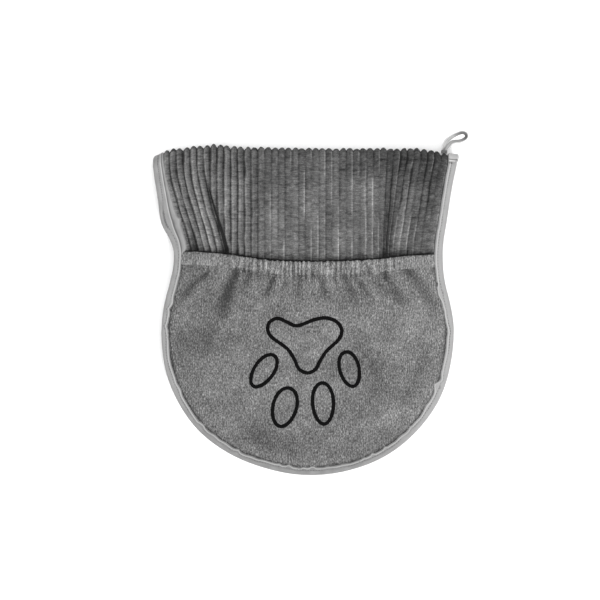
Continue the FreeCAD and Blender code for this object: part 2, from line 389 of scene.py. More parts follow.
class Shader:
    """A material's node tree, with short calls for the nodes that these cloths need."""

    def __init__(self, name, sheen, specular=0.25):
        self.material = bpy.data.materials.new(name)
        self.material.use_nodes = True
        self.tree = self.material.node_tree
        self.principled = self.tree.nodes["Principled BSDF"]
        self.put(self.principled, "Sheen Weight", sheen)
        self.put(self.principled, "Sheen Roughness", 0.5)
        self.put(self.principled, "Specular IOR Level", specular)

    def node(self, kind, **inputs):
        node = self.tree.nodes.new(kind)
        for key, value in inputs.items():
            self.put(node, key, value)
        return node

    def put(self, node, key, value):
        socket = node.inputs[int(key[1:]) if key[0] == "_" else key.replace("_", " ")]
        if isinstance(value, bpy.types.NodeSocket):
            self.tree.links.new(value, socket)
        else:
            socket.default_value = value

    def attribute(self, name, output):
        node = self.node("ShaderNodeAttribute")
        node.attribute_name = name
        return node.outputs[output]

    def noise(self, scale, detail=2.0, roughness=0.5):
        """Noise over the cloth's own coordinates in millimetres, with a scale for each."""
        stretched = self.node("ShaderNodeVectorMath", _0=self.attribute("weave", "Vector"), _1=scale)
        stretched.operation = "MULTIPLY"
        node = self.node("ShaderNodeTexNoise", Vector=stretched.outputs[0], Scale=1.0, Detail=detail,
                         Roughness=roughness)
        return node.outputs["Fac"]

    def math(self, operation, first, second):
        node = self.node("ShaderNodeMath", _0=first, _1=second)
        node.operation = operation
        return node.outputs[0]

    def ranged(self, value, from_low, from_high, to_low, to_high):
        node = self.node("ShaderNodeMapRange", _0=value, _1=from_low, _2=from_high, _3=to_low, _4=to_high)
        return node.outputs[0]

    def layered(self, *layers):
        """The tone on the mesh, and each layer about its middle times an amount."""
        tone = self.attribute("tone", "Fac")
        for layer, amount in layers:
            about_middle = self.math("SUBTRACT", layer, 0.5)
            tone = self.math("ADD", tone, self.math("MULTIPLY", about_middle, amount))
        return tone

    def colours(self, tone, stops):
        """A ramp of greys over tones from -1 to 1: each stop's place, grey and warmth."""
        node = self.node("ShaderNodeValToRGB", _0=self.ranged(tone, -1.0, 1.0, 0.0, 1.0))
        ramp = node.color_ramp
        while len(ramp.elements) < len(stops):
            ramp.elements.new(0.5)
        for element, (position, grey, warmth) in zip(ramp.elements, stops):
            element.position = position
            element.color = (grey * (1 + warmth), grey, grey * (1 - warmth), 1)
        return node.outputs[0]

    def finish(self, colour, height, distance, roughness):
        self.put(self.principled, "Base Color", colour)
        bumped = self.node("ShaderNodeBump", Strength=1.0, Distance=distance * MM, Height=height)
        self.put(self.principled, "Normal", bumped.outputs[0])
        self.put(self.principled, "Roughness", roughness)
        return self.material


def chenille_material():
    """Short cut pile in chains of tufts: dark grooves, paler tips and fine crosswise breaks."""
    shader = Shader("chenille_pile", 0.1)
    tips = shader.noise((1.3, 0.8, 1.0), 2.0, 0.6)
    ladder = shader.noise((0.16, 0.62, 1.0), 2.0, 0.7)
    fuzz = shader.noise((0.5, 0.4, 1.0), 3.0, 0.7)
    patches = shader.noise((0.03, 0.03, 1.0), 2.0)
    tone = shader.layered((tips, 1.1), (ladder, 1.3), (fuzz, 0.9), (patches, 0.4))
    colour = shader.colours(tone, [(0.0, 0.005, 0.0), (0.28, 0.042, 0.0), (0.5, 0.098, 0.004),
                                   (0.72, 0.185, 0.004), (1.0, 0.42, 0.004)])
    height = shader.math("ADD", tips, shader.math("MULTIPLY", ladder, 0.8))
    return shader.finish(colour, height, 1.0, shader.ranged(tips, 0.0, 1.0, 0.85, 1.0))


def terry_material(name, lightness, across, along):
    """Fine looped terry: small loops in upright rows, with soft brushed patches."""
    shader = Shader(name, 0.1)
    loops = shader.noise((across, along, 1.0), 2.0, 0.65)
    rows = shader.noise((0.9 * across, 0.3 * along, 1.0), 1.0)
    fine = shader.noise((2.6 * across, 2.2 * along, 1.0), 1.0)
    patches = shader.noise((0.045, 0.04, 1.0), 3.0, 0.6)
    tone = shader.layered((loops, 3.5), (rows, 1.4), (fine, 1.6), (patches, 0.9))
    stops = [(0.0, 0.03), (0.3, 0.082), (0.5, 0.15), (0.7, 0.235), (1.0, 0.44)]
    colour = shader.colours(tone, [(at, grey * lightness, 0.003) for at, grey in stops])
    height = shader.math("ADD", loops, shader.math("MULTIPLY", fine, 0.5))
    return shader.finish(colour, height, 1.0, shader.ranged(loops, 0.0, 1.0, 0.88, 1.0))


def woven_material(name, grey, contrast, across=2.4, along=2.4, sheen=0.08, roughness=0.8, depth=0.12,
                   gloss=0.25):
    """Smooth plain-woven tape or thread."""
    shader = Shader(name, sheen, gloss)
    warp = shader.noise((across, 0.25 * along, 1.0), 1.0)
    weft = shader.noise((0.25 * across, along, 1.0), 1.0)
    worn = shader.noise((0.06, 0.05, 1.0), 3.0)
    tone = shader.layered((warp, contrast), (weft, contrast), (worn, 1.4 * contrast))
    stops = [(0.0, 0.35), (0.3, 0.72), (0.5, 1.0), (0.75, 1.2), (1.0, 1.45)]
    colour = shader.colours(tone, [(at, grey * share, 0.002) for at, share in stops])
    uneven = shader.ranged(warp, 0.0, 1.0, roughness - 0.12, roughness + 0.1)
    return shader.finish(colour, shader.math("ADD", warp, weft), depth, uneven)


CHENILLE = chenille_material()
TERRY = terry_material("pocket_terry", 0.7, 0.8, 0.36)
HEM_TERRY = terry_material("hem_terry", 0.75, 0.74, 0.32)
BINDING = woven_material("binding_tape", 0.225, 0.25)
LOOP_TAPE = woven_material("loop_tape", 0.3, 0.3)
# Painted light: the same tape as the binding, in a lighter grey for its folded end
LIT_TAPE_END = woven_material("binding_tape_end", 0.4, 0.2)
THREAD = woven_material("sewing_thread", 0.09, 0.2, 3.0, 3.0)
SATIN = woven_material("satin_stitch", 0.0022, 0.35, 1.0, 4.0, 0.0, 0.9, 0.1, 0.06)
BARTACK = woven_material("bartack_thread", 0.09, 0.3, 3.0, 3.0)
ELASTIC = woven_material("elastic_webbing", 0.6, 0.2, 1.2, 1.2)


# ---- the chenille cloth

# How far the left block of ribs has leant in, by y. Its last rib is at CREASE_REST on the fold, and the ribs
# beyond that go under it one by one, squeezed into a dark crease.
LEAN_LINE = spline([
    (-60, 8.8), (END_Y, 8.8), (10, 12), (40, 20), (69, 24), (82, 22), (97, 18.4), (117, 12.6), (136, 7.4),
    (154, 3.2), (167, 1.2), (180, 0.3), (200, 0), (230, 0),
], 160)
CREASE_REST = -120.0
CREASE_SQUEEZE = 0.10
DEEPEST = -1.2


def lean(y):
    return follow(y, LEAN_LINE)


def swallowed(rest_x, y):
    """How far a rib line has been overrun by the left block, in mm: under 0 it lies free."""
    return lean(y) - (1 - CREASE_SQUEEZE) * (rest_x - CREASE_REST)


def cloth_x(rest_x, y):
    """Where the rib line at rest_x on the fold has got to at y."""
    inset = FOLD_HALF_WIDTH - CLOTH_REACH
    held = np.maximum(y, END_Y)
    right = side_x(held, 1) - inset - CLOTH_REACH
    shift = lean(held)
    block = shift * (1 + 0.12 * smooth(-rest_x, -CREASE_REST, CLOTH_REACH))
    edge_gap = side_x(held, -1) + inset + CLOTH_REACH - 1.12 * shift
    block = block + edge_gap * fade(rest_x, -CLOTH_REACH, 13 - CLOTH_REACH)
    over = swallowed(rest_x, held)
    pushed = 0.5 * (over + np.sqrt(over**2 + (0.16 * shift) ** 2))
    left = np.where(rest_x < CREASE_REST, block, pushed * fade(rest_x, -80, -50))
    return rest_x + left + right * smooth(rest_x, 82, 126)


def crease_depth(rest_x, y):
    """The depth of the left crease, where the leaning ribs meet the upright ones, and of the right one, and
    how far each place is under the left one."""
    drawn = fade(y, NECK_Y + 20, FOLD_Y - 12) * smooth(y, -20, 30)
    past = rest_x - CREASE_REST
    begun = smooth(lean(y), 1.5, 7.0)
    under = smooth(swallowed(rest_x, y), -1.0, 3.0) * (past > 0) * begun
    lip = 0.5 * bump(past, 0, 2.6) * (past <= 0) * begun
    left = 5.0 * np.maximum(under, lip)
    edge = 1.6 * bump(rest_x, -158, 7) * bump(y, NECK_Y + 6, 26)
    return left + edge, 2.6 * drawn * bump(rest_x, 106, 13), under


def rib_place(rest_x):
    """Where a rib line is, counted in ribs from the left, and which rib it belongs to."""
    rib = (rest_x + CLOTH_REACH) / (2 * CLOTH_REACH) * RIBS
    return rib, np.clip(np.floor(rib).astype(int), 0, RIBS - 1)


def tuft_breaks(rest_x, run, seed):
    """How close each point is to a gap between its rib's tufts, from 0 to 1."""
    rng = np.random.default_rng(seed)
    _, rib = rib_place(rest_x[0])
    near = np.zeros(run.shape)
    tufts = 110
    for k in range(RIBS):
        gaps = np.cumsum(rng.uniform(5.0, 13.0, tufts)) - 460
        depth = rng.uniform(0.2, 1.0, tufts)
        here = np.flatnonzero(rib == k)
        after = np.clip(np.searchsorted(gaps, run[:, here]), 1, tufts - 1)
        for j in (after - 1, after):
            close = depth[j] * np.exp(-(((run[:, here] - gaps[j]) / 1.2) ** 2))
            near[:, here] = np.maximum(near[:, here], close)
    return near


def pile(rest_x, run, seed, relief):
    """The pile's height from the valley floor, and how pale it is, with painted light and shade."""
    rib, index = rib_place(rest_x)
    rng = np.random.default_rng(seed)
    rib_height = rng.uniform(0.8, 1.12, RIBS)[index]
    rib_tone = rng.uniform(-0.1, 0.1, RIBS)[index]
    wobble = 0.10 * noise(index * 7.3, run / 16, seed + 1)
    across = np.clip(rib - index + wobble, 0, 1)
    dome = 1 - np.abs(2 * across - 1) ** 2.4
    gaps = tuft_breaks(rest_x, run, seed + 2)
    lumps = noise(rib * 2.0, run / 3.2, seed + 3)
    slow = noise(rib * 0.4, run / 22, seed + 4)
    height = relief * (dome * rib_height * (1 - 0.42 * gaps) + 0.10 * lumps + 0.10 * slow)

    # Painted light on each rib: painted shade in its groove and a painted highlight on one flank, the left
    # one on the left and the right one elsewhere. The pale flank line also stands for the pale ground
    # between the rows.
    left_part = fade(rest_x, -80, -38)
    right_part = smooth(rest_x, 60, 110)
    share = noise(index * 5.1, run / 60, seed + 5) + 0.35 * noise(index * 2.7, run / 11, seed + 6)
    shown = smooth(share + 0.35 * right_part, -0.15, 0.5)
    pale = 0.5 * left_part * bump(across, 0.24, 0.17)
    pale = pale + (1 - left_part) * 0.68 * shown * bump(across, 0.84, 0.11)
    groove = bump(np.minimum(across, 1 - across), 0, 0.12)
    sunk = smooth(noise(index * 3.3, run / 50, seed + 7), -0.2, 0.5)
    dark = groove * (0.75 * left_part + (1 - left_part) * (0.22 + 0.4 * right_part) * sunk)
    # Painted shade: each rib is darker towards the edges of its dome and in the gaps between its tufts
    tone = rib_tone + 0.12 * lumps + 0.14 * slow + 0.12 * (dome - 0.6)
    return height, tone + pale - dark - 0.3 * gaps - 0.16 * right_part


# Crosswise breaks that many ribs share: y, from x, to x, and how dark, the darkness being painted shade in
# the dip that each one makes
SHARED_BREAKS = [(182.4, 76, 152, 0.55), (170.2, 8, 78, 0.25), (170.0, -60, 8, 0.2)]


def shared_breaks(rest_x, y):
    total = np.zeros(rest_x.shape)
    for at, start, end, amount in SHARED_BREAKS:
        wavering = at + 1.1 * noise_along(rest_x / 5, 19)
        amount = amount * smooth(noise_along(rest_x / 6, 20), -1.1, 0.4)
        within = smooth(rest_x, start - 3, start + 3) * fade(rest_x, end - 3, end + 3)
        total = total + amount * bump(y, wavering, 1.0) * within
    return total


def cloth_grid():
    """The cloth's points, from the front's round end to the back's: each rib line's place on the fold, where
    it has got to, and the run."""
    inset = FOLD_HALF_WIDTH - CLOTH_REACH
    rest = np.linspace(-CLOTH_REACH, CLOTH_REACH, RIBS * COLUMNS_PER_RIB + 1)[None, :]
    rows = np.concatenate([np.arange(0, RUN_TO_MOUTH, 1.5), np.linspace(RUN_TO_MOUTH, RUN_TO_ROUND, 28)])
    rows = rows[:, None]
    share = np.linspace(0, 1, 62)[1:, None]
    x_end = cloth_x(rest, END_Y)
    x = np.concatenate([cloth_x(rest, np.minimum(y_of(rows), FOLD_Y)), np.repeat(x_end, len(share), axis=0)])
    run = np.concatenate([np.repeat(rows, rest.size, axis=1), RUN_TO_ROUND + share * end_drop(x_end, inset)])
    x = np.concatenate([x[::-1], x[1:]])
    run = np.concatenate([run[::-1], -run[1:]])
    return np.repeat(rest, len(x), axis=0), x, run


def make_cloth():
    rest_x, x, run = cloth_grid()
    y = y_of(run)
    inside = edge_distance(x, np.minimum(y, FOLD_Y))
    under_binding = fade(inside, 7.5, 12.5)
    near_fold = fade(np.abs(run), 14, 48)
    under_pocket = fade(y, mouth_y(x) - 14, mouth_y(x) + 2)
    left_side = fade(rest_x, -80, -25)
    right_side = smooth(rest_x, 90, 150)

    # the outer face
    depth = 1.5 + 1.4 * left_side + 0.9 * right_side + 1.6 * near_fold
    height, tone = pile(rest_x, run, OUTER_SEED, depth)
    crease, valley, under = crease_depth(rest_x, y)
    breaks = shared_breaks(rest_x, y)
    level = CLOTH / 2 + PILE_PROUD - depth + height * (1 - 0.9 * under) - crease - valley - 0.7 * breaks
    level = np.maximum(level, DEEPEST)
    level = level * (1 - under_pocket) + np.minimum(level, CLOTH / 2 - 0.6) * under_pocket
    # Painted shade in the left crease, in the right valley and in the shared breaks
    tone = tone * (1 - under) - 0.32 * crease - 0.17 * valley - breaks
    # Painted shade along the fold's crest, where the rib ends turn over, and a slight darkening all over
    tone = tone - 0.95 * fade(np.abs(run), 1.5, 9) - 0.05
    # Painted shade near the fold, where the cloth curves away from the light: a little more on the right,
    # less on the left
    tone = tone - (0.26 + 0.12 * right_side - 0.1 * left_side) * fade(np.abs(run), 22, 60)
    # Painted shadow: a dark line just above the pocket's hem, and a softer band above it
    above = y - mouth_y(x)
    tone = tone - 1.3 * bump(above, 0.6, 1.1) - 0.25 * bump(above, 3, 5)
    faces = [(1, level, tone)]

    # the inner face
    height, tone = pile(rest_x, run, INNER_SEED, INNER_PILE)
    level = np.minimum(CLOTH / 2 + PILE_PROUD - INNER_PILE + height, CLOTH / 2 - 0.1)
    faces.append((-1, level, tone))

    layers, tones = [], []
    for direction, level, tone in faces:
        level = level * (1 - under_binding) + 2.1 * under_binding
        layers.append(place(x, run, direction * level))
        # Painted shade on the cloth under the binding
        tones.append(tone - 0.3 * under_binding)
    weave = [points_of(rest_x, run, 0), points_of(rest_x, run, 40)]
    cloth = closed_sheet("chenille_cloth", layers, CHENILLE, tones, weave)
    return on_fold(cloth, x, run, "chenille", "front_chenille_panel", "back_chenille_panel", "fold_chenille")


# ---- edge binding

def edge_path(step):
    """One half's outline from the fold's right corner round to its left one: x, y, and the way outwards."""
    y = np.arange(FOLD_Y, END_Y, -step)
    right, left = points_of(side_x(y, 1), y), points_of(side_x(y, -1), y)[::-1]
    angle = np.arange(0, math.pi, step / END_RADIUS)
    radius = end_radius(angle)
    arc = points_of(centre_x(END_Y) + radius * np.cos(angle), END_Y - radius * np.sin(angle))
    path = np.concatenate([right, arc, left])
    _, outwards = directions(np.gradient(path, axis=0))
    return path, outwards


def around_edge(step):
    """The whole outline, front and back, as x, run and the way outwards across and along the cloth."""
    parts = []
    for side in (1, -1):
        path, outwards = edge_path(step)
        run = side * (QUARTER + FOLD_Y - path[:, 1])
        part = points_of(path[:, 0], run, outwards[:, 0], -side * outwards[:, 1])
        parts.append(part if side > 0 else part[::-1])
    bend = np.arange(-QUARTER, QUARTER, step)[1:]
    front, back = parts
    turns = []
    for sign in (-1, 1):
        turns.append(points_of(side_x(FOLD_Y, sign), sign * bend, float(sign), 0.0))
    return np.concatenate([front, turns[0], back, turns[1]])


# At the front's upper left the tape is wide, and its inner fold stands loose: widths by y
WEDGE_LINE = spline([
    (40, 0.9), (66, 0.9), (70, 2.4), (74, 6.6), (83, 7.6), (91, 8.8), (102, 11.0), (108, 8.4), (120, 6.8),
    (137, 5.0), (160, 3.4), (190, 2.5),
], 120)
SHOULDER_WIDTHS = spline([
    (50, 8.6), (66, 8.8), (74, 9.2), (83, 10.0), (91, 10.5), (102, 13.0), (110, 12.9), (120, 12.2),
    (142, 10.9), (171, 10.2), (200, 9.6),
], 100)

# Where the tape puckers: side, y, reach along the edge, and how much wider it gets
PUCKERS = [
    (1, 24, 9, 3.6), (1, 8, 5, 0.8), (1, -4, 5, 1.6), (1, -24, 6, -1.2), (1, -83, 5, -2.0), (1, -92, 5, 4.0),
    (1, -118, 5, 1.4), (-1, 13, 4, 1.6), (-1, 3, 4, -2.0), (-1, -7, 3.5, -0.5), (-1, -17, 4.5, -2.2),
    (-1, -96, 5, 1.2),
]


def wedge_width(x, run):
    """The inner fold of the tape: narrow all round, but wide and loose at the front's upper left."""
    y = y_of(run)
    loose = follow(y, WEDGE_LINE)
    here = smooth(run, -4, 8) * (x < 0)
    return 0.9 * (1 - here) + loose * here


def binding_width(x, run, along):
    y = y_of(run)
    waver = 0.4 * noise_along(along / 9, 71) + 0.45 * noise_along(along / 30, 72)
    lower = smooth(np.abs(run), 150, 230)
    pucker = np.maximum(noise_along(along / 6, 73) - 0.3, 0)
    pucker = pucker * smooth(noise_along(along / 40, 78), -0.1, 0.4)
    width = BINDING_WIDTH + waver * (0.5 + lower) + 3.4 * lower * pucker - 0.7 * lower
    for sign, at, reach, amount in PUCKERS:
        width = width + amount * bump(y, at, reach) * (x * sign > 0) * (run > 0)
    upper = (x < 0) * (run > 0) * smooth(y, 50, 74)
    return width * (1 - upper) + follow(y, SHOULDER_WIDTHS) * upper


def stitch_inset(width):
    """Where the seam runs: at a steady inset, but closer to the edge where the tape is pinched."""
    return np.minimum(STITCH_INSET, width - 2.7)


def make_binding():
    path = around_edge(EDGE_STEP)
    x, run, out_x, out_run = path.T
    ahead = np.roll(path[:, :2], -1, axis=0) - path[:, :2]
    along = np.concatenate([[0], np.cumsum(np.linalg.norm(ahead, axis=1))[:-1]])
    width = binding_width(x, run, along)
    wedge = wedge_width(x, run)
    stitch = stitch_inset(width)
    puff = 0.22 * noise_along(along / 5, 74) + 0.3 * noise_along(along / 17, 75)
    half = CLOTH / 2

    # Across the tape: the distance in from the edge, the height from the cloth's middle, and the tone. The
    # tone holds a painted highlight along the tape's folded inner edge, a painted shadow line just inside
    # that edge, painted light and shade across the loose inner fold, and painted shade in the seam's groove.
    front = [
        (width + wedge, half + 0.1, -0.3), (width + 0.72 * wedge, half + 0.55, 0.15),
        (width + 0.3 * wedge, half + 0.5, -0.1), (width + 0.12, half - 0.15, -1.0),
        (width - 0.4, half + 0.5 + 0.5 * puff, 0.9), (width - 1.3, half + 0.7 + puff, 0.9),
        (width - 1.9, half + 0.7 + puff, 0.0),
        (stitch + 0.7, half + 0.65 + puff, 0.0), (stitch, half + 0.3 + puff, -0.14),
        (stitch - 0.8, half + 0.75 + puff, 0.0), (0.45 * width, half + 0.8 + puff, 0.04),
        (0.22 * width, half + 0.35 + 0.6 * puff, 0.04), (0.07 * width, half - 0.9, 0.0), (0.0, 0.5, -0.05),
    ]
    back = [
        (0.05 * width, -half + 1.2, -0.05), (0.2 * width, -half + 0.3, 0.0), (0.5 * width, -half, 0.0),
        (0.8 * width, -half, 0.0), (width + 0.6, -half + 0.25, 0.1),
    ]
    outer = [[value + 0 * x for value in row] for row in front + back]
    thinned = (half - TAPE) / (half + 0.4)
    lining = [[inset + TAPE, height * thinned, tone] for inset, height, tone in outer[::-1]]
    inset, height, tone = np.array(outer + lining).transpose(1, 0, 2)
    y = y_of(run)
    upper_left = (x < 0) * (run > 0) * smooth(y, 60, 90)
    # Painted light: the tape lighter towards the right, darker towards the round ends and a little at the
    # front's upper left
    shade = 0.32 * smooth(x, 60, 170) - 0.15 - 0.3 * fade(y, -185, -60) - 0.08 * upper_left
    row = np.arange(len(inset))[:, None]
    tone = tone + shade + 0.04 * noise(along / 11, 3.7 * row, 76) + 0.14 * noise(along / 6, 1.3 * row, 77)
    weave = points_of(along, inset + 40 * (height < 0), 80)
    points = place(x - out_x * inset, run - out_run * inset, height)
    faces = grid_faces(len(inset), len(x), wrap_rows=True, wrap_columns=True)
    tape = mesh_object("edge_binding", points, faces, BINDING, tone, weave)
    on_fold(tape, x, run, "binding", "front_edge_binding", "back_edge_binding", "fold_binding_left",
            "fold_binding_right")
    return tape, float(along[-1]) * MM


# One stitch: a bar with rounded ends, as (way across, height) round it and (way along, thickness) down it
STITCH_RING = np.array([(-1, 0), (-0.55, 0.8), (0.55, 0.8), (1, 0), (0, -0.6)])
STITCH_STEPS = np.array([(-0.5, 0.25), (-0.32, 0.9), (0.0, 1.0), (0.32, 0.9), (0.5, 0.25)])
STITCH_POINTS = len(STITCH_RING) * len(STITCH_STEPS)


def stitch_row(name, x, y, direction, surface, size, material):
    """A row of short stitches of one length, width and height, along a line of places on a surface."""
    length, width, height = size
    along, thick = STITCH_STEPS.T[:, None, :, None]
    across, lift = STITCH_RING.T[:, None, None, :]
    ahead_x, ahead_y = direction.T[:, :, None, None]
    sideways = across * width / 2 * thick
    a = x[:, None, None] + ahead_x * along * length - ahead_y * sideways
    b = y[:, None, None] + ahead_y * along * length + ahead_x * sideways
    bar = grid_faces(len(STITCH_STEPS), len(STITCH_RING), wrap_columns=True)
    faces = (bar + STITCH_POINTS * np.arange(len(x))[:, None, None]).reshape(-1, 4)
    tone = 0.25 * noise(a / 4, b / 4, 5)
    points = surface(a, b, lift * height * thick)
    return mesh_object(name, points, faces, material, tone, points_of(a, b, 90))


def make_binding_seams():
    path = around_edge(STITCH_PITCH)
    x, run, out_x, out_run = path.T
    along = STITCH_PITCH * np.arange(len(x))
    inset = stitch_inset(binding_width(x, run, along)) + 0.2 * noise_along(along / 17, 31)
    x, run = x - out_x * inset, run - out_run * inset
    direction = np.stack([-out_run, out_x], axis=1)

    def surface(a, b, height):
        return place(a, b, CLOTH / 2 + 0.45 + height)

    rows = []
    for name, keep in (("front_binding", run > 0), ("back_binding", run < 0)):
        row = stitch_row(f"{name}_stitches", x[keep], run[keep], direction[keep], surface,
                         BINDING_STITCH, THREAD)
        every_x, every_run = np.repeat(x[keep], STITCH_POINTS), np.repeat(run[keep], STITCH_POINTS)
        rows.append(on_fold(row, every_x, every_run, "thread", f"{name}_seam"))
    return rows


# ---- pockets

# Soft folds that run down the pocket from its gathered mouth: from, to, width, depth
POCKET_FOLDS = [
    ((-118, 46), (-155, 14), 4.0, 1.5), ((-84, 46), (-103, -12), 7.0, 2.0), ((-66, 44), (-78, 20), 4.5, 1.1),
    ((-37, 42), (-50, 10), 4.5, 1.6), ((-22, 42), (-27, 20), 3.5, 0.8), ((-6, 42), (-8, 12), 4.5, 1.1),
    ((19, 42), (22, 8), 4.5, 1.2), ((34, 42), (40, 20), 3.5, 0.9), ((46, 43), (62, 8), 5.0, 1.3),
    ((58, 43), (86, 2), 5.5, 1.1), ((78, 45), (100, 14), 5.0, 0.9), ((94, 46), (122, -2), 6.5, 1.3),
    ((122, 50), (168, -8), 8.0, 1.4), ((-116, -25), (-108, -60), 14.0, 0.5),
    ((-60, -150), (10, -166), 16.0, 0.8), ((70, -40), (105, -110), 18.0, 0.8),
    ((140, -60), (120, -110), 12.0, 0.7),
]


def puckers(x, across):
    """The folds of the gathered mouth, from -1 to 1: fairly even, each with its own depth and wander."""
    wander = 0.6 * noise_along(x / 15, 93) + 0.1 * noise(x / 9, across, 96)
    even = np.sin(2 * math.pi * (x / PUCKER_PITCH + wander))
    return 0.6 * even * (0.75 + 0.5 * noise_along(x / 12, 97)) + 0.55 * noise(x / 2.6, across, 94)


def segment_falloff(x, y, start, end, width):
    """1 on a segment's line and 0 away from it, deepest near its start."""
    sx, sy = start
    dx, dy = end[0] - sx, end[1] - sy
    t = ((x - sx) * dx + (y - sy) * dy) / (dx * dx + dy * dy)
    held = np.clip(t, 0, 1)
    bow = 3.0 * np.sin(held * math.pi) * (1 if dx > 0 else -1)
    away = np.hypot(x - sx - held * dx + bow * dy / math.hypot(dx, dy) * 0.4, y - sy - held * dy)
    return np.exp(-((away / (width * (0.7 + 0.6 * held))) ** 2)) * fade(t, 0.35, 1.15)


def pocket_surface(x, y, side):
    """The outer face of a pocket's cloth, as a distance from the plane between the halves, and its tone,
    which holds painted light and shade.
    """
    seam = seam_distance(x, y)
    crown = 1 - np.exp(-np.power(np.maximum(seam, 0) / 17, 1.25))
    below = mouth_y(x) - HEM_HEIGHT - y
    level = FLAT_OFFSET + CLOTH / 2 - 0.35 + crown * (6.0 + 0.9 * fade(below, -10, 60))
    valley = np.zeros(np.shape(x))
    for start, end, width, depth in POCKET_FOLDS:
        valley = valley + depth * segment_falloff(x, y, start, end, width)
    free = smooth(seam, 2, 16)
    ruffle = gather(x) * np.exp(-np.maximum(below, 0) / 11) * puckers(x, below / 26)
    rumple = 0.55 * noise(x / 26, y / 24, 82) + 0.28 * noise(x / 9, y / 12, 83)
    level = level - 0.95 * free * valley + 1.15 * free * ruffle + 1.1 * free * rumple
    edge_pucker = fade(seam, 0, 14) * noise_along(np.arctan2(y - END_Y, x) * 26, 84)
    level = level + 0.35 * edge_pucker
    # Painted shade under the hem, most where the elastic gathers it
    hem_shadow = np.exp(-np.maximum(below, 0) / 5) * (0.2 + 0.2 * noise_along(x / 8, 98))
    hem_shadow = hem_shadow * (0.3 + 0.7 * gather(x))
    # Painted light and shade: darker in the soft folds, lighter on the ruffles and rumples that stand up,
    # and a painted shadow line just inside the seam
    tone = -0.42 * free * valley + 0.45 * ruffle + 0.2 * rumple - 0.8 * bump(seam, 2.4, 1.6) - hem_shadow
    # Painted light: lighter towards the right, darker near the left edge and towards the round end
    tone = tone + 0.12 * (smooth(x, 40, 150) + smooth(x, -150, -60) + smooth(y, -170, -110) - 2)
    if side < 0:
        level = np.minimum(level * 1.06, POCKET_FACE - 0.1)
    return level, tone


def pocket_place(x, y, level, side):
    return points_of(x, y, MID_Z + side * level)


def pocket_weight(x, y):
    """0 where the pocket is sewn down and 1 where it can lift."""
    return smooth(seam_distance(x, y), -1, 62)


def make_pocket_cloth(name, side):
    columns, straight_rows, end_rows = 236, 58, 104
    u = np.linspace(-1, 1, columns)[None, :]
    inset = SEAM_INSET - 1.5
    top = mouth_y(u * (NECK_HALF_WIDTH - inset) + centre_x(NECK_Y)) - HEM_HEIGHT + TUCKED_UNDER_HEM
    t = np.linspace(0, 1, straight_rows)[:, None]
    y = top * (1 - t) + END_Y * t
    left, right = side_x(y, -1) + inset, side_x(y, 1) - inset
    x = (left + right) / 2 + u * (right - left) / 2
    share = np.linspace(0, 1, end_rows)[1:, None]
    y = np.concatenate([y, END_Y - share * end_drop(x[-1:], inset)])
    x = np.concatenate([x, np.repeat(x[-1:], len(share), axis=0)])
    level, tone = pocket_surface(x, y, side)
    thick = 0.4 + 1.1 * smooth(seam_distance(x, y), 0, 14)
    layers = [pocket_place(x, y, level, side), pocket_place(x, y, level - thick, side)]
    weave = [points_of(x, y, 10 * side), points_of(x, y, 20 * side)]
    # Painted shade: the pocket's inner face is darker
    panel = closed_sheet(f"{name}_pocket_cloth", layers, TERRY, [tone, tone - 0.15], weave, flip=side > 0)
    return on_pocket(panel, name, x, y, "terry", f"{name}_pocket_panel")


def hem_section(x, share, side):
    """The hem's outer face, from its stitch line at share 0 to its top edge at share 1."""
    folds = puckers(x, share * 0.8)
    edge = gather(x) * (0.6 * folds + 0.6 * noise_along(x / 2.3, 91)) + 0.3 * noise_along(x / 6, 92)
    y = mouth_y(x) - HEM_HEIGHT * (1 - share) + edge * share
    level, _ = pocket_surface(x, y, side)
    seam = smooth(seam_distance(x, y), 1, 12)
    fine = noise(x / 1.5, share * 2.5 + 0 * x, 95)
    puff = 4 * share * (1 - share) * 0.5
    swell = 0.35 + 0.65 * np.sin(share * math.pi)
    level = level + seam * (puff + gather(x) * (0.8 * folds + 0.3 * fine) * swell)
    if side < 0:
        level = np.minimum(level, POCKET_FACE - 0.05)
    end_stitch = bump(x, GATHER_TO, 0.9) * smooth(share, 0.15, 0.25) * fade(share, 0.8, 0.9)
    shown = smooth(share + 0.12 * fine, -0.1, 0.4)
    # Painted light and shade on the gathered folds: lighter on their ridges, darker in their hollows
    tone = 0.08 + gather(x) * (0.62 * folds + 0.22 * fine) * shown - 0.9 * end_stitch
    return y, level, tone


def hem_cap(outer_rows, inner_rows, columns, column, turned):
    """Quads that close one end of the hem, from its outer rows across to its inner ones."""
    inner = outer_rows + inner_rows - 1 - np.round(np.linspace(0, inner_rows - 1, outer_rows)).astype(int)
    outer = np.arange(outer_rows)
    quads = np.stack([outer[:-1], outer[1:], inner[1:], inner[:-1]], axis=-1) * columns + column
    return quads[:, ::-1] if turned else quads


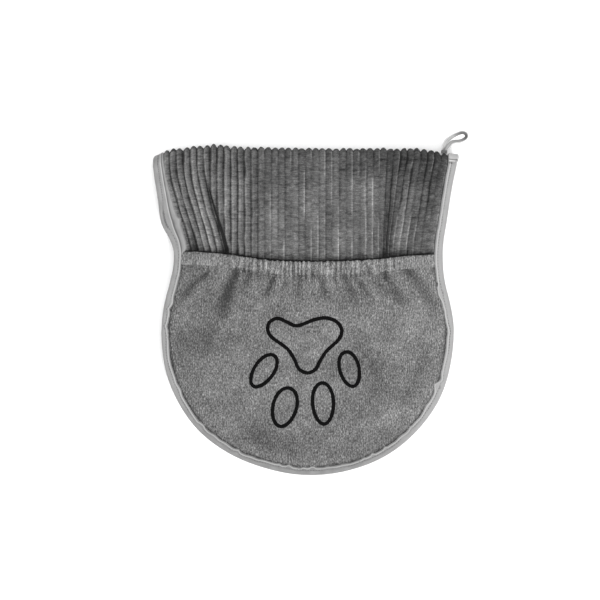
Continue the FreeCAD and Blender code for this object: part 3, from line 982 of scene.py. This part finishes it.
def make_hem(name, side):
    columns, outer_rows, inner_rows = 340, 13, 7
    half = NECK_HALF_WIDTH - SEAM_INSET + 1.5
    x = np.linspace(-half, half, columns) + centre_x(NECK_Y)
    share = np.linspace(0, 1, outer_rows)[:, None]
    y, level, tone = hem_section(x, share, side)
    level = level - 0.9 * smooth(share, 0.86, 1.0) - 0.5 * bump(share, 0, 0.05)
    inner_share = np.linspace(0.97, 0, inner_rows)[:, None]
    inner_y, inner_level, inner_tone = hem_section(x, inner_share, side)
    thick = 0.8 + 1.9 * smooth(seam_distance(x, y[-1]), 0, 14)
    inner_level = inner_level - thick * np.where(inner_share > 0.9, 0.8, 1.0)
    y = np.concatenate([y, inner_y])
    points = pocket_place(x, y, np.concatenate([level, inner_level]), side)
    # Painted shade: the hem's inner face is darker
    tone = np.concatenate([tone, inner_tone - 0.35])
    faces = [grid_faces(len(y), columns, wrap_rows=True, flip=side < 0)]
    for column, turned in ((0, side > 0), (columns - 1, side < 0)):
        faces.append(hem_cap(outer_rows, inner_rows, columns, column, turned))
    hem = mesh_object(f"{name}_pocket_hem_roll", points, np.concatenate(faces), HEM_TERRY, tone,
                      points_of(x, y, 30 * side))
    return on_pocket(hem, name, x, y, "hem", f"{name}_pocket_hem")


def make_hem_stitches(name, side):
    half = NECK_HALF_WIDTH - SEAM_INSET - 3
    x = np.arange(-half, half, HEM_STITCH_PITCH) + centre_x(NECK_Y)
    share = 0.055
    y = mouth_y(x) - HEM_HEIGHT * (1 - share)
    direction, _ = directions(points_of(1.0, np.gradient(y, x)))

    def surface(a, b, height):
        level, _ = pocket_surface(a, b, side)
        return pocket_place(a, b, level + 0.3 * height - 0.25, side)

    row = stitch_row(f"{name}_hem_stitches", x, y, direction, surface, HEM_STITCH, HEM_TERRY)
    every_x, every_y = np.repeat(x, STITCH_POINTS), np.repeat(y, STITCH_POINTS)
    return on_pocket(row, name, every_x, every_y, "thread", f"{name}_hem_seam")


def make_elastic(name, side):
    """The flat woven elastic inside the hem, with its fine lengthwise ribs."""
    x = np.linspace(GATHER_FROM, GATHER_TO, 200)
    y, level, _ = hem_section(x, np.linspace(0.2, 0.8, 9)[:, None], side)
    thick = 0.8 * (ELASTIC_HIGH[2] - ELASTIC_LOW[2])
    under = 1.15
    ribbed = np.arange(len(y))[:, None] % 2
    layers = [pocket_place(x, y, level - under + 0.12 * ribbed, side),
              pocket_place(x, y, level - under - thick, side)]
    tone = 0.2 * ribbed + 0 * y
    weave = [points_of(x, y, 50), points_of(x, y, 55)]
    band = closed_sheet(f"{name}_elastic_band", layers, ELASTIC, [tone, tone], weave, flip=side < 0)
    return on_pocket(band, name, x, y, "elastic", f"{name}_pocket_elastic")


# ---- paw embroidery

LINE_HALF_WIDTH = 2.3
PAD_POINTS = [
    (-33.5, -7.8), (-43, -12.5), (-45, -22), (-40, -30.5), (-22, -44), (-13.5, -56.5), (-8, -68), (2, -73),
    (12, -68.5), (18, -57.5), (26, -46), (39.5, -33), (43.3, -22), (37.5, -12.2), (25.5, -7.3), (11, -9.2),
    (-9.8, -16.6), (-22, -12.2),
]
TOES = {  # centre, half length, half width, turn from upright
    "outer_left": ((-50, -70.5), 22, 11.5, -35),
    "inner_left": ((-25, -114), 23.5, 14, -15),
    "inner_right": ((21, -109.5), 24.5, 12.5, 3),
    "outer_right": ((52.5, -68.5), 21, 11.5, 14),
}


def toe_points(centre, half_length, half_breadth, turn):
    """An oval, a little narrower at its lower end."""
    angle = np.linspace(0, 2 * math.pi, 24, endpoint=False)
    across = half_breadth * np.sin(angle) * (1 + 0.07 * np.cos(angle))
    up = half_length * np.cos(angle)
    tilt = math.radians(turn)
    x = centre[0] + across * math.cos(tilt) - up * math.sin(tilt)
    y = centre[1] + across * math.sin(tilt) + up * math.cos(tilt)
    return np.stack([x, y], axis=1)


# Across the satin line: way across, and height
SATIN_SECTION = np.array([
    (-1, -0.1), (-0.8, 0.35), (-0.4, 0.62), (0, 0.7), (0.4, 0.62), (0.8, 0.35), (1, -0.1), (0, -0.35),
])
SATIN_THREAD = 0.34
SATIN_SLANT = 0.35
BACK_FLATTENED = 0.12


def make_satin_line(name, node, half_name, side, points, seed):
    """A closed line of satin stitch: slanting threads side by side, with slightly uneven ends."""
    count = int(ring_length(points) / SATIN_THREAD)
    path = spline(points, count, closed=True)
    along, _ = directions(np.roll(path, -1, axis=0) - np.roll(path, 1, axis=0))
    rng = np.random.default_rng(seed)
    uneven = 1 + rng.uniform(-0.13, 0.13, (2, count)) + 0.06 * noise_along(np.arange(count) / 14, seed)
    ridge = np.where(np.arange(count) % 2 == 0, 0.0, 0.16) + rng.uniform(-0.04, 0.04, count)
    across, lift = SATIN_SECTION.T[..., None]
    reach = LINE_HALF_WIDTH * across * np.where(across < 0, uneven[0], uneven[1])
    x = path[:, 0] - along[:, 1] * reach + along[:, 0] * SATIN_SLANT * across
    y = path[:, 1] + along[:, 0] * reach + along[:, 1] * SATIN_SLANT * across
    level, _ = pocket_surface(x, y, side)
    height = (lift + ridge * (lift > 0)) * (BACK_FLATTENED if side < 0 else 1)
    tone = 0.25 * ridge / 0.16 - 0.1 + 0 * x
    weave = points_of(np.arange(count) * SATIN_THREAD, across * LINE_HALF_WIDTH, 60)
    faces = grid_faces(len(SATIN_SECTION), count, wrap_rows=True, wrap_columns=True, flip=side > 0)
    line = mesh_object(name, pocket_place(x, y, level + height, side), faces, SATIN, tone, weave)
    return on_pocket(line, half_name, x, y, "embroidery", node)


def make_paw(name, side):
    lines = [make_satin_line(f"{name}_pad_stitching", f"{name}_paw_pad", name, side, PAD_POINTS, 200)]
    for k, (toe, shape) in enumerate(TOES.items()):
        stitching, node = f"{name}_toe_stitching_{toe}", f"{name}_paw_toe_{toe}"
        lines.append(make_satin_line(stitching, node, name, side, toe_points(*shape), 201 + k))
    return lines


# ---- loop, bartack and end tab

LOOP_LINE = [
    (164.4, 186.5), (164.5, 191), (164.9, 194.2), (166.4, 198.7), (168.3, 203.2), (170.8, 206.6),
    (175.3, 209.9), (181, 212.9), (187, 215.3), (191.6, 214.4), (193.4, 211), (191.3, 207.6), (185.5, 205),
    (179.5, 204.3), (175.2, 203), (171.7, 198.8), (168.6, 194.1), (167.8, 190.5), (167.9, 186.5),
]
# How far the tape leans over, in degrees, by its share of the way from either root to the tip
LOOP_LEAN = ((0, 20), (0.1, 24), (0.28, 39), (0.5, 34), (0.8, 27), (1, 24))
LOOP_TAPE_WIDTH = 7.6
LOOP_TAPE_THICKNESS = 1.5
BARTACK_X = (162.6, 169.6)
BARTACK_Y = (190.2, 193.4)
TAB_RUN = (1.0, 12.8)
TAB_REACH = (-2.7, 9.3)


def tape_section(width, thickness):
    """A folded tape's cross-section: rounded edges and a slight hollow along each stitched side."""
    a, t = width / 2, thickness / 2
    side = [(-a, 0), (-0.93 * a, 0.8 * t), (-0.8 * a, 1.1 * t), (-0.68 * a, 0.75 * t), (-0.3 * a, 1.05 * t),
            (0.3 * a, 1.05 * t), (0.68 * a, 0.75 * t), (0.8 * a, 1.1 * t), (0.93 * a, 0.8 * t), (a, 0)]
    return side + [(w, -h) for w, h in side[-2:0:-1]]


def loop_frames(count):
    """The loop's line and the way outwards, each as x and y, then the share along it, how near it is to the
    tip, and its lean."""
    path = spline(LOOP_LINE, count)
    _, outwards = directions(np.gradient(path, axis=0))
    share = np.linspace(0, 1, count)
    way = 1 - np.abs(2 * share - 1)
    return path.T, outwards.T, share, way, np.radians(np.interp(way, *zip(*LOOP_LEAN)))


def make_loop():
    count = 260
    (x, y), (out_x, out_y), share, way, tilt = loop_frames(count)
    width, thick = np.array(tape_section(LOOP_TAPE_WIDTH, LOOP_TAPE_THICKNESS)).T[..., None]
    crumple = 0.2 * noise(share * 22, width, 41)
    sideways = np.sin(tilt) * width + np.cos(tilt) * thick + crumple
    rise = np.cos(tilt) * width - np.sin(tilt) * thick
    points = points_of(x + out_x * sideways, y + out_y * sideways, MID_Z + rise)
    stitched = 0.7 * (np.abs(np.abs(width) - 2.6) < 0.4)
    # Painted light on the tape: a highlight along its edges, painted shade on its inner face towards the
    # tip, and lighter near its roots against the fold's shade
    rim = 0.6 * (np.abs(width) > 3.4)
    inside = 1.3 * (thick < 0) * smooth(way, 0.6, 0.9)
    root = 0.6 * fade(way, 0.2, 0.6)
    tone = 0.4 + 0.12 * noise(share * 30, width, 42) + rim + root - stitched - inside
    weave = points_of(share * 70, width + 5 * np.sign(thick), 65)
    faces = grid_faces(len(width), count, wrap_rows=True, flip=True)
    tape = mesh_object("hanging_loop_tape", points, faces, LOOP_TAPE, tone, weave)
    lifted = smooth(points[..., 1], BARTACK_HIGH[1] - 1.5, BARTACK_HIGH[1] + 4)
    return dress(tape, ("loop_root", "hanging_loop"), lifted, "binding", "hanging_loop")


def make_bartack():
    """Close zigzag threads across the loop's root."""
    rng = np.random.default_rng(7)
    turns = 17
    angle = np.linspace(0, 2 * math.pi, 6, endpoint=False)
    t = np.linspace(0, 1, 9)[:, None]
    size = 0.24 * (0.5 + 0.5 * np.sin(math.pi * (0.1 + 0.8 * t)))
    arch = LOOP_TAPE_WIDTH / 2 + 0.25 + 0.3 * np.sin(math.pi * t)
    points, faces = [], []
    for k in range(turns):
        y = BARTACK_Y[0] + (BARTACK_Y[1] - BARTACK_Y[0]) * k / (turns - 1) + rng.uniform(-0.05, 0.05)
        start, end = BARTACK_X[0] + rng.uniform(-0.3, 0.3), BARTACK_X[1] + rng.uniform(-0.3, 0.3)
        points.append(points_of(start + (end - start) * t, y + 0.25 * (k % 2) * t + size * np.cos(angle),
                                MID_Z + arch + size * np.sin(angle)))
        first = k * t.size * angle.size
        faces.append(grid_faces(t.size, angle.size, wrap_columns=True, start=first, flip=True))
    points = np.concatenate(points)
    tone = 0.3 * noise(points[..., 0] / 2, points[..., 1] * 3, 9)
    tack = mesh_object("loop_bartack_threads", points, np.concatenate(faces), BARTACK, tone, points)
    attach(tack, "loop_root")
    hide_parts("loop_bartack")
    return tack


def make_end_tab():
    """The binding's folded end, lapped over its start at the fold's right corner."""
    run = np.linspace(*TAB_RUN, 26)[:, None]
    inset = np.linspace(*TAB_REACH, 24)[None, :]
    pulled_in = 1.5 * (inset < 0) * smooth(run, TAB_RUN[1] - 6, TAB_RUN[1])
    x = FOLD_HALF_WIDTH + centre_x(FOLD_Y) - inset - pulled_in
    across = smooth(inset, TAB_REACH[0] - 0.2, -1) * (1 - 0.35 * smooth(inset, 8.0, TAB_REACH[1]))
    ends = smooth(run - run[0], -0.2, 1.0) * (1 - 0.6 * smooth(run, run[-1] - 0.9, run[-1] + 0.1))
    stitch = bump(run, run[-1] - 1.6, 0.45)
    height = CLOTH / 2 - 0.4 + 1.8 * np.sqrt(across * ends) - 0.28 * stitch
    layers = [place(x, run, height), place(x, run, CLOTH / 2 - 0.9)]
    tone = 0.1 * noise(x / 3, run / 3, 15) - 1.5 * stitch - 0.3 * (1 - ends)
    weave = [points_of(x, run, 70), points_of(x, run, 72)]
    tab = closed_sheet("binding_end_lap", layers, LIT_TAPE_END, [tone, tone], weave, flip=True)
    return on_fold(tab, x, run, "binding", "binding_end_tab")


# ---- stage

def make_stage():
    half, level = 6.0, -0.0006
    floor = bpy.data.meshes.new("floor")
    square = [(x * half, y * half, level) for x, y in ((-1, -1), (1, -1), (1, 1), (-1, 1))]
    floor.from_pydata(square, [], [(0, 1, 2, 3)])
    paint = bpy.data.materials.new("pale_floor")
    paint.use_nodes = True
    shader = paint.node_tree.nodes["Principled BSDF"]
    shader.inputs["Base Color"].default_value = (0.93, 0.93, 0.93, 1)
    shader.inputs["Roughness"].default_value = 0.9
    floor.materials.append(paint)
    link(bpy.data.objects.new("floor", floor))


def add_light(name, location, size, power):
    light = bpy.data.lights.new(name, "AREA")
    light.size = size
    light.energy = power
    obj = link(bpy.data.objects.new(name, light))
    obj.location = location
    obj.rotation_euler = (-Vector(location)).to_track_quat("-Z", "Y").to_euler()


def make_light_and_camera():
    add_light("key", (0.9, -1.7, 1.9), 0.8, 62)
    add_light("fill", (-1.4, 0.3, 2.2), 1.6, 22)
    add_light("top", (0.1, 0.4, 2.6), 1.6, 20)
    world = bpy.data.worlds.new("studio")
    world.use_nodes = True
    background = world.node_tree.nodes["Background"]
    background.inputs["Color"].default_value = (1, 1, 1, 1)
    background.inputs["Strength"].default_value = 0.85
    bpy.context.scene.world = world
    bpy.context.scene.view_settings.view_transform = "Standard"

    distance, seen_width, aim_x, aim_y = 3.2, 0.717, -0.0066, 0.0142
    camera = bpy.data.cameras.new("camera")
    camera.sensor_width = 36
    camera.lens = camera.sensor_width * (distance - 2 * POCKET_FACE * MM) / seen_width
    obj = link(bpy.data.objects.new("camera", camera))
    obj.location = (aim_x, aim_y, distance)
    bpy.context.scene.camera = obj


# ---- everything together

make_stage()
make_light_and_camera()
chenille = make_cloth()
binding, binding_length = make_binding()
binding_pieces = make_binding_seams() + [make_end_tab()]
loop_pieces = [make_loop(), make_bartack()]
for half_name, half_side in (("front", 1), ("back", -1)):
    pocket = make_pocket_cloth(half_name, half_side)
    pocket_pieces = [make_hem(half_name, half_side), make_hem_stitches(half_name, half_side),
                     make_elastic(half_name, half_side)]
    pocket_pieces + make_paw(half_name, half_side)
